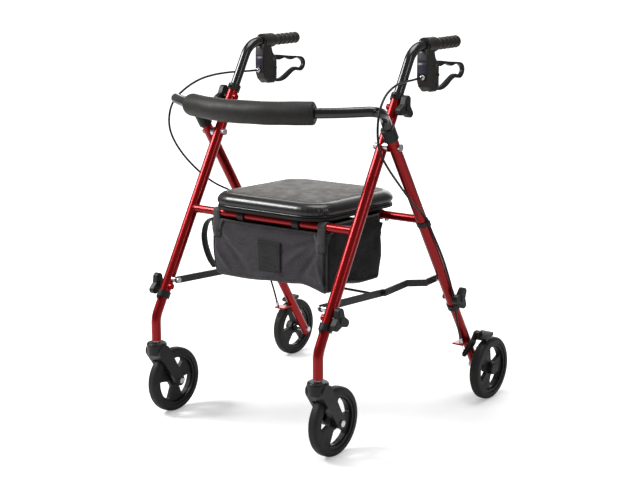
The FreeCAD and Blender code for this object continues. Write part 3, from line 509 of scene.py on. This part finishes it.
# (inset, height above the base, pleat share) from the middle of the base out and up to the top
profile = [(0.030, 0.0006, 0), (0.010, 0.0003, 0), (0.0042, 0.0003, 0),
           (0.0022, 0.0012, 0), (0.0018, 0.0026, 0),
           (0.0026, 0.0040, 0), (0.0036, 0.0046, 0.2), (0.0022, 0.0056, 0.5), (0.0008, 0.0080, 0.9),
           (0.0001, 0.0120, 1.0), (0.0006, 0.0165, 0.9), (0.0024, 0.0205, 0.6), (0.0054, 0.0242, 0.3),
           (0.0095, 0.0272, 0.12), (0.0145, 0.0292, 0.05), (0.0195, 0.0303, 0), (0.0216, 0.0305, 0),
           (0.0228, 0.0299, 0), (0.0242, 0.0308, 0), (0.030, 0.0316, 0), (0.045, 0.0328, 0),
           (0.070, 0.0337, 0), (0.100, 0.0343, 0), (0.130, 0.0346, 0), (0.145, 0.0347, 0),
           (0.156, 0.0347, 0)]


def between(a, b, c, d):
    """Smooth midpoint of b and c on the curve through a, b, c and d."""
    return tuple((9 * (q + r) - p - s) / 16 for p, q, r, s in zip(a, b, c, d))


ends = profile[:1] + profile + profile[-1:]
fine_profile = []
for i, step in enumerate(profile[:-1]):
    fine_profile += [step, between(*ends[i:i + 4])]
fine_profile.append(profile[-1])
rings = []
for inset, height, share in fine_profile:
    ring = []
    for p, normal in seat_outline:
        q = p - normal * min(inset, EDGE_INSET)
        if inset > EDGE_INSET:
            q = q * (1 - (inset - EDGE_INSET) / MIDDLE_REACH)
        q = q + normal * (PLEAT_DEPTH * share * pleat(p, height / SKIRT_H))
        soft = noise.noise(Vector((q.x * 14, q.y * 14, 3.0))) * SEAT_WAVE if height > TOP_H else 0.0
        ring.append(Vector((q.x, SEAT_CY + q.y, SEAT_Z0 + height + soft)))
    rings.append(ring)
verts, faces = loft(rings)
seat = add_mesh("seat_cushion_cover", verts, faces, SEAT_SIDE)
seat.data.materials.append(SEAT_TOP)
TOP_START = 34  # first ring span of the top panel; the face before the last is the cap of the base
for i, poly in enumerate(seat.data.polygons):
    if i >= TOP_START * SEAT_COUNT and i != len(seat.data.polygons) - 2:
        poly.material_index = 1
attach(seat, "seat")
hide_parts("seat_cushion")

# ---- backrest pad: foam sleeve on the bow ----
BOW = [(0.296, -0.187, 0.732), (0.222, -0.231, 0.727), (0.112, -0.277, 0.723), (0.0, -0.294, 0.7215)]
bow_route = [Vector(p) for p in BOW] + [Vector((-x, y, z)) for x, y, z in reversed(BOW[:-1])]
PAD_HALF, PAD_R = 0.1775, 0.0248
PAD_SIDES = 72
PAD_WAVE = 0.0007
END_RUN, END_DROP = 0.007, 0.0062
END_SHRINK, END_DISH = 0.35, 0.0015
SLIT_ANGLE, SLIT_WIDTH, SLIT_DEPTH = 4.45, 0.045, 0.0016
bow_line = [p for p in nurbs_points(bow_route, 40) if abs(p.x) < PAD_HALF]
rings = []
frames = frames_along(bow_line)
run = [0.0]
for a, b in zip(bow_line, bow_line[1:]):
    run.append(run[-1] + (b - a).length)
for p, s, (t, side, up) in zip(bow_line, run, frames):
    roll = min(s / END_RUN, (run[-1] - s) / END_RUN, 1.0)
    body_r = PAD_R - END_DROP * (1 - math.sqrt(max(1 - (1 - roll) ** 2, 0.0)))
    ring = []
    for j in range(PAD_SIDES):
        a = 2 * math.pi * j / PAD_SIDES
        soft = noise.noise(Vector((s * 22, math.cos(a) * 1.4, math.sin(a) * 1.4))) * PAD_WAVE
        slit = math.exp(-((a - SLIT_ANGLE) / SLIT_WIDTH) ** 2) * SLIT_DEPTH * roll
        r = body_r + soft - slit
        ring.append(p + side * (r * math.cos(a)) + up * (r * math.sin(a)))
    rings.append(ring)
# both ends dish inward a little
first = [v.lerp(bow_line[0], END_SHRINK) + frames[0][0] * END_DISH for v in rings[0]]
last = [v.lerp(bow_line[-1], END_SHRINK) - frames[-1][0] * END_DISH for v in rings[-1]]
verts, faces = loft([first] + rings + [last])
pad = add_mesh("backrest_foam", verts, faces, FOAM)
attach(pad, "rear_frame")
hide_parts("backrest_pad")

# ---- bag: sewn shell hung from both crossbars ----
BAG_HY = (BAG_Y1 - BAG_Y0) / 2
BAG_CY = (BAG_Y1 + BAG_Y0) / 2
BAG_CORNER, BAG_THICK = 0.013, 0.0016
BAG_COUNT = 360
WALL_DEPTH = 0.012  # how far in from the front or back an outline point still counts as that wall
bag_outline = rounded_outline(BAG_HX, BAG_HY, BAG_CORNER, BAG_COUNT)
STRAPS = [Vector((sx * STRAP_X, sy * BAG_HY)) for sx in (-1, 1) for sy in (-1, 1)]

# soft creases in the front cloth: ends in x and z, half width, depth
CREASES = (
    ((0.146, 0.446), (0.034, 0.402), 0.0075, -0.00364), ((0.150, 0.430), (0.088, 0.348), 0.0070, -0.00336),
    ((-0.148, 0.436), (-0.058, 0.352), 0.0080, -0.00308), ((0.070, 0.372), (-0.040, 0.338), 0.0065, 0.0028),
    ((0.140, 0.400), (0.158, 0.345), 0.0060, 0.00308), ((-0.160, 0.400), (-0.110, 0.338), 0.0065, 0.00252),
    ((-0.010, 0.452), (-0.100, 0.440), 0.0060, -0.00168), ((0.110, 0.425), (0.040, 0.372), 0.0060, 0.00252),
)


def crease(x, z, a, b, width, depth):
    """Push from one straight soft crease, fading at its ends."""
    dx, dz = b[0] - a[0], b[1] - a[1]
    t = ((x - a[0]) * dx + (z - a[1]) * dz) / (dx * dx + dz * dz)
    if t < 0 or t > 1:
        return 0.0
    off = (x - a[0] - t * dx) * dz - (z - a[1] - t * dz) * dx
    off /= math.hypot(dx, dz) * width * (0.7 + 0.6 * t)
    return depth * math.sin(math.pi * t) ** 0.7 * math.exp(-off * off)


BELLY = 0.0034
PULL_DEPTH, PULL_REACH, PULL_WIDTH, PULL_FOLDS = 0.0014, 0.05, 0.045, 7.0
SLACK_DEPTH, FINE_DEPTH = 0.0016, 0.0006


def bag_fold(p, z, share):
    """Outward push of the cloth: belly, creases, folds from the strap points and slack."""
    out = BELLY * math.sin(math.pi * min(share * 1.1, 1.0))
    if abs(p.y) > BAG_HY - WALL_DEPTH:
        for line in CREASES:
            out += crease(p.x if p.y < 0 else -p.x, z, *line)
    for s in STRAPS:
        d = Vector((p.x - s.x, p.y - s.y))
        reach = math.hypot(d.length, (BAG_Z1 - z))
        if reach < 1e-5:
            continue
        angle = math.atan2(BAG_Z1 - z, d.length)
        near = math.exp(-((reach - PULL_REACH) / PULL_WIDTH) ** 2)
        out += PULL_DEPTH * math.sin(angle * PULL_FOLDS + s.x * 30) * near
    ridge = 1.0 - abs(noise.noise(Vector((p.x * 8 + z * 10, p.y * 8 + z * 6, 1.7)))) * 2.4
    out += SLACK_DEPTH * max(ridge, -0.3) * math.sin(math.pi * share)
    out += FINE_DEPTH * noise.noise(Vector((p.x * 26, p.y * 26, z * 20)))
    return out


RISE_Y0, RISE_Y1, RISE_RUN, RISE_H = -0.176, -0.001, 0.008, 0.0180


def rim_height(p):
    """The top edge runs under the crossbars and stands up to the seat between them."""
    low = BAG_Z1 - 0.0028
    if abs(p.y) > BAG_HY - WALL_DEPTH:
        return low - 0.0012 * max(0.0, 1 - (p.x / STRAP_X) ** 2)
    y = p.y + BAG_CY
    rise = min(max((y - RISE_Y0) / RISE_RUN, 0.0), 1.0) * min(max((RISE_Y1 - y) / RISE_RUN, 0.0), 1.0)
    return low + RISE_H * rise


def bottom_height(p):
    """The lower edge lifts left of mid-front and rises at the right-hand front corner."""
    if p.y < WALL_DEPTH - BAG_HY:
        lift = 0.0110 * math.exp(-((p.x - 0.098) / 0.042) ** 2)
        lift += 0.0070 * math.exp(-((p.x - 0.015) / 0.06) ** 2)
        corner = 0.020 * max(0.0, (-0.140 - p.x) / 0.028) ** 2
        return BAG_Z0 + 0.0015 + lift + corner
    if p.y > BAG_HY - WALL_DEPTH:
        return BAG_Z0 + 0.004
    return BAG_Z0 + 0.0015 + 0.010 * math.exp(-((p.y + 0.027) / 0.04) ** 2)


LEVELS = 46
FOOT_INSET = 0.012
PUSH_MIN, PUSH_MAX, SET_BACK = -0.004, 0.0085, 0.0022
rings = []
for i in range(LEVELS + 1):
    share = i / LEVELS
    ring = []
    for p, normal in bag_outline:
        top, low = rim_height(p), bottom_height(p)
        z = top + (low - top) * share
        inset = FOOT_INSET * max(0.0, (share - 0.93) / 0.07) ** 2
        push = bag_fold(p, z, share) * (1 - max(0.0, (share - 0.9) / 0.1) * 0.6)
        push = min(max(push, PUSH_MIN), PUSH_MAX) - SET_BACK
        q = p + normal * (push - inset)
        ring.append(Vector((q.x, BAG_CY + q.y, z)))
    rings.append(ring)
FLOOR_STEPS = ((0.965, 0.001), (0.90, 0.0022), (0.75, 0.003), (0.5, 0.0034), (0.25, 0.0035), (0.06, 0.0035))
for shrink, drop in FLOOR_STEPS:
    ring = []
    for v in rings[LEVELS]:
        ring.append(Vector((v.x * shrink, BAG_CY + (v.y - BAG_CY) * shrink, max(v.z - drop, BAG_Z0 - 0.002))))
    rings.append(ring)
verts, faces = loft(rings, caps=False)
faces.append(tuple((len(rings) - 1) * BAG_COUNT + j for j in range(BAG_COUNT)))
bag = add_mesh("bag_shell", verts, faces, BAG_CLOTH)
bag.data.materials.append(BAG_SIDE_SHADE)
# the ends and the bottom get the near-black copy of the nylon, which is painted shade on the same cloth as
# the front
for poly in bag.data.polygons:
    c = poly.center
    if abs(c.x) > BAG_HX - 0.010 or c.z < BAG_Z0 + 0.004:
        poly.material_index = 1
thicken(bag, BAG_THICK, 1.0)


def on_wall(x, z, side=-1, out=0.0014):
    """Point on the front or back wall of the bag."""
    wanted = min(range(BAG_COUNT), key=lambda j: (bag_outline[j][0] - Vector((x, side * BAG_HY))).length)
    column = [rings[i][wanted] for i in range(LEVELS + 1)]
    row = min(column, key=lambda v: abs(v.z - z))
    return Vector((x, row.y + side * out, z))


def on_bag(piece):
    """Hangs a piece on the front frame, with a mesh of its own."""
    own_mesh(piece)
    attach(piece, "frame")


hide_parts("bag")
on_bag(bag)

# bindings: tape round the rim, piping round the lower edge and down the corners
rim = [v + Vector((0, 0, 0.0005)) for v in rings[0]]
rim_tape = tube("bag_rim_binding", rim + rim[:1], 0.0021, BINDING, 10)
on_bag(rim_tape)
seam_ring = [v.copy() for v in rings[LEVELS - 2]]
seam = tube("bag_lower_piping", seam_ring + seam_ring[:1], 0.0026, BINDING, 10)
on_bag(seam)
for sx in (-1, 1):
    for sy in (-1, 1):
        tip = Vector((sx * BAG_HX, sy * BAG_HY))
        corner = min(range(BAG_COUNT), key=lambda j: (bag_outline[j][0] - tip).length)
        line = [rings[i][corner] for i in range(LEVELS - 1)]
        name = "bag_corner_piping_%s_%s" % ("left" if sx > 0 else "right", "rear" if sy > 0 else "front")
        on_bag(tube(name, line, 0.0019, BINDING, 8))

# plain sewn patch on the front
PATCH_X, PATCH_Z, PATCH_HALF = 0.007, 0.394, 0.034
PATCH_GRID = 20
PATCH_THICK = 0.0012
SMOOTH_ROUNDS = 4
rows = []
for i in range(PATCH_GRID + 1):
    z = PATCH_Z + PATCH_HALF - 2 * PATCH_HALF * i / PATCH_GRID
    rows.append([on_wall(PATCH_X - PATCH_HALF + 2 * PATCH_HALF * j / PATCH_GRID, z, out=0.0021)
                 for j in range(PATCH_GRID + 1)])
for _ in range(SMOOTH_ROUNDS):
    smooth = [[v.copy() for v in row] for row in rows]
    for i in range(1, PATCH_GRID):
        for j in range(1, PATCH_GRID):
            smooth[i][j].y = (rows[i - 1][j].y + rows[i + 1][j].y + rows[i][j - 1].y + rows[i][j + 1].y) / 4
    rows = smooth
verts = [v for row in rows for v in row]
patch = add_mesh("bag_patch", verts, grid_faces(PATCH_GRID, PATCH_GRID), PATCH)
thicken(patch, PATCH_THICK, 0.0)
on_bag(patch)

# straps: a tab on the bag, a tail up to the crossbar and a loop round it
X_DIR = Vector((1, 0, 0))
STRAP_W, LOOP_THICK, TAIL_THICK, TAB_THICK = 0.021, 0.0016, 0.0018, 0.0012
LOOP_R = BAR_R + 0.0013
LOOP_STEPS = 40
TAB_GRID = 8
TAB_DROP, TAB_TOP, TAB_TAPER = 0.040, 0.0215, 0.011
for sx, side in ((1, "left"), (-1, "right")):
    for sy, end, bar_y, body in ((-1, "front", FRONT_BAR_Y, "frame"), (1, "rear", REAR_BAR_Y, "rear_frame")):
        x = sx * STRAP_X
        name = side + "_" + end
        loop = []
        for i in range(LOOP_STEPS + 1):
            a = 2 * math.pi * i / LOOP_STEPS
            loop.append(Vector((x, bar_y + LOOP_R * math.cos(a), BAR_Z + LOOP_R * math.sin(a))))
        ring = strap("strap_loop_" + name, loop, STRAP_W, LOOP_THICK, WEBBING, X_DIR)
        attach(ring, body)
        tail_y = bar_y - LOOP_R
        base = on_wall(x, BAG_Z1 - 0.03, sy, out=0.0016)
        mid = on_wall(x, BAG_Z1 - 0.004, sy, out=0.0022)
        points = [base, base.lerp(mid, 0.5), mid, Vector((x, (mid.y + tail_y) / 2, BAG_Z1 + 0.006)),
                  Vector((x, tail_y, BAR_Z - 0.002))]
        tail = strap("strap_tail_" + name, points, STRAP_W, TAIL_THICK, WEBBING, X_DIR)
        on_bag(tail)
        # tapered tab that spreads the pull
        verts = []
        for i in range(TAB_GRID + 1):
            z = BAG_Z1 - 0.003 - TAB_DROP * i / TAB_GRID
            half = TAB_TOP - TAB_TAPER * i / TAB_GRID
            verts += [on_wall(x + half * (2 * j / TAB_GRID - 1), z, sy, out=0.0015)
                      for j in range(TAB_GRID + 1)]
        tab = add_mesh("strap_tab_" + name, verts, grid_faces(TAB_GRID, TAB_GRID), BINDING)
        thicken(tab, TAB_THICK, 0.0)
        on_bag(tab)

# webbing carry loop on the right-hand end of the bag
CARRY_Y, CARRY_W, CARRY_THICK = -0.189, 0.020, 0.0024
carry = [(-0.1690, 0.4605), (-0.182, 0.4570), (-0.1965, 0.443), (-0.2035, 0.420), (-0.2025, 0.398),
         (-0.1945, 0.375), (-0.1830, 0.354), (-0.1690, 0.343)]
carry_line = nurbs_points([Vector((x, CARRY_Y, z)) for x, z in carry], 8)
carry_strap = strap("bag_carry_loop", carry_line, CARRY_W, CARRY_THICK, WEBBING, Vector((0, 1, 0)))
on_bag(carry_strap)

# ---- brake housings: two-tone front cover and dark screw heads ----
COVER_W, COVER_THICK = 0.0245, 0.0022
COVERS = (
    ("upper", COVER_UP, ((0.0565, 0.8475), (0.0550, 0.8380), (0.0542, 0.8290), (0.0538, 0.8215))),
    ("lower", COVER_LOW, ((0.0538, 0.8205), (0.0537, 0.8100), (0.0537, 0.8000), (0.0537, 0.7915))),
)
SCREWS = ((0.088, 0.811), (0.098, 0.790), (0.096, 0.768))
for side, k in SIDES:
    x = k * FRONT_X
    for name, material, line in COVERS:
        line = [Vector((x, y, z)) for y, z in line]
        cover = strap("brake_cover_%s_%s" % (name, side), line, COVER_W, COVER_THICK, material, X_DIR)
        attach(cover, "handle_" + side)
    for n, (y, z) in enumerate(SCREWS):
        for out in (-1, 1):
            line = [Vector((x + out * d, y, z)) for d in (0.0150, 0.0166, 0.0169)]
            screw = tube("brake_screw_%d_%s_%s" % (n, "out" if out * k > 0 else "in", side), line,
                         [0.0036, 0.0036, 0.0024], SCREW, 20)
            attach(screw, "handle_" + side)

# ---- weld beads where the crossbars meet the tubes ----
BEAD_R, BEAD_STEPS = 0.0013, 60
BEAD_SPREAD, BEAD_SINK, BEAD_SWELL = 1.04, 0.0004, 0.0003
for side, k in SIDES:
    for bar, bar_y, tube_x, up, body in (
        ("front", FRONT_BAR_Y, FRONT_X, FRONT_UP, "frame"),
        ("rear", REAR_BAR_Y, REAR_X, REAR_UP, "rear_frame"),
    ):
        bead = []
        for i in range(BEAD_STEPS + 1):
            a = 2 * math.pi * i / BEAD_STEPS
            dy, dz = BAR_R * math.cos(a), BAR_R * math.sin(a)
            off = dy * up.z - dz * up.y
            x = tube_x - math.sqrt(TUBE_R ** 2 - off ** 2)
            x += BEAD_SWELL * math.sin(a * 17) - BEAD_SINK
            bead.append(Vector((k * x, bar_y + dy * BEAD_SPREAD, BAR_Z + dz * BEAD_SPREAD)))
        weld = tube("weld_%s_%s" % (bar, side), bead, BEAD_R, RED, 8)
        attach(weld, body)

# ---- floor and light ----
# the floor glows to the camera only, and more with distance, so shadows show near the walker alone
GLOW_NEAR, GLOW_PER_METRE, GLOW_MAX = 0.26, 0.20, 1.1
paper = Shade("floor_paper")
paper.set(Base_Color=(0.80, 0.80, 0.80), Roughness=0.8, Specular_IOR_Level=0.0,
          Emission_Color=(1.0, 1.0, 1.0, 1.0))
rays = paper.node("ShaderNodeLightPath")
reach = paper.node("ShaderNodeVectorMath")
reach.operation = "LENGTH"
paper.link(paper.coords.outputs["Object"], reach.inputs[0])
rise = paper.math("ADD", paper.math("MULTIPLY", reach.outputs["Value"], GLOW_PER_METRE), GLOW_NEAR)
glow = paper.math("MULTIPLY", rays.outputs["Is Camera Ray"], paper.math("MINIMUM", rise, GLOW_MAX))
paper.link(glow, paper.bsdf.inputs["Emission Strength"])
FLOOR = 40.0
floor = add_mesh(
    "floor", [(-FLOOR, -FLOOR, 0), (FLOOR, -FLOOR, 0), (FLOOR, FLOOR, 0), (-FLOOR, FLOOR, 0)],
    [(0, 1, 2, 3)], paper.mat, False)

# the backdrop is white to the camera and dimmer as a light
BACKDROP_STRENGTH, AMBIENT_STRENGTH = 1.1, 0.24
world = bpy.data.worlds.new("studio")
world.use_nodes = True
tree = world.node_tree
backdrop = tree.nodes["Background"]
ambient = tree.nodes.new("ShaderNodeBackground")
for node, strength in ((backdrop, BACKDROP_STRENGTH), (ambient, AMBIENT_STRENGTH)):
    node.inputs["Color"].default_value = (1.0, 1.0, 1.0, 1.0)
    node.inputs["Strength"].default_value = strength
paths = tree.nodes.new("ShaderNodeLightPath")
pick = tree.nodes.new("ShaderNodeMixShader")
tree.links.new(paths.outputs["Is Camera Ray"], pick.inputs["Fac"])
tree.links.new(ambient.outputs["Background"], pick.inputs[1])
tree.links.new(backdrop.outputs["Background"], pick.inputs[2])
tree.links.new(pick.outputs["Shader"], tree.nodes["World Output"].inputs["Surface"])
scene.world = world


def area_light(name, location, target, size, power, size_y=None):
    """Soft light that faces its target; size_y makes it a rectangle."""
    data = bpy.data.lights.new(name, "AREA")
    data.energy = power
    data.size = size
    if size_y:
        data.shape = "RECTANGLE"
        data.size_y = size_y
    obj = bpy.data.objects.new(name, data)
    obj.location = location
    direction = Vector(target) - Vector(location)
    obj.rotation_euler = direction.to_track_quat("-Z", "Y").to_euler()
    scene.collection.objects.link(obj)


area_light("key", (-2.0, -1.5, 2.4), (0, 0, 0.4), 1.0, 95.0)
area_light("side", (2.6, -0.4, 1.8), (0, 0, 0.4), 0.4, 12.0, 1.8)
area_light("top", (0.2, 0.2, 3.0), (0, 0, 0.4), 1.6, 50.0)
area_light("back", (-1.3, 2.9, 1.3), (0, 0, 0.5), 3.0, 46.0, 2.0)
scene.view_settings.view_transform = "Standard"
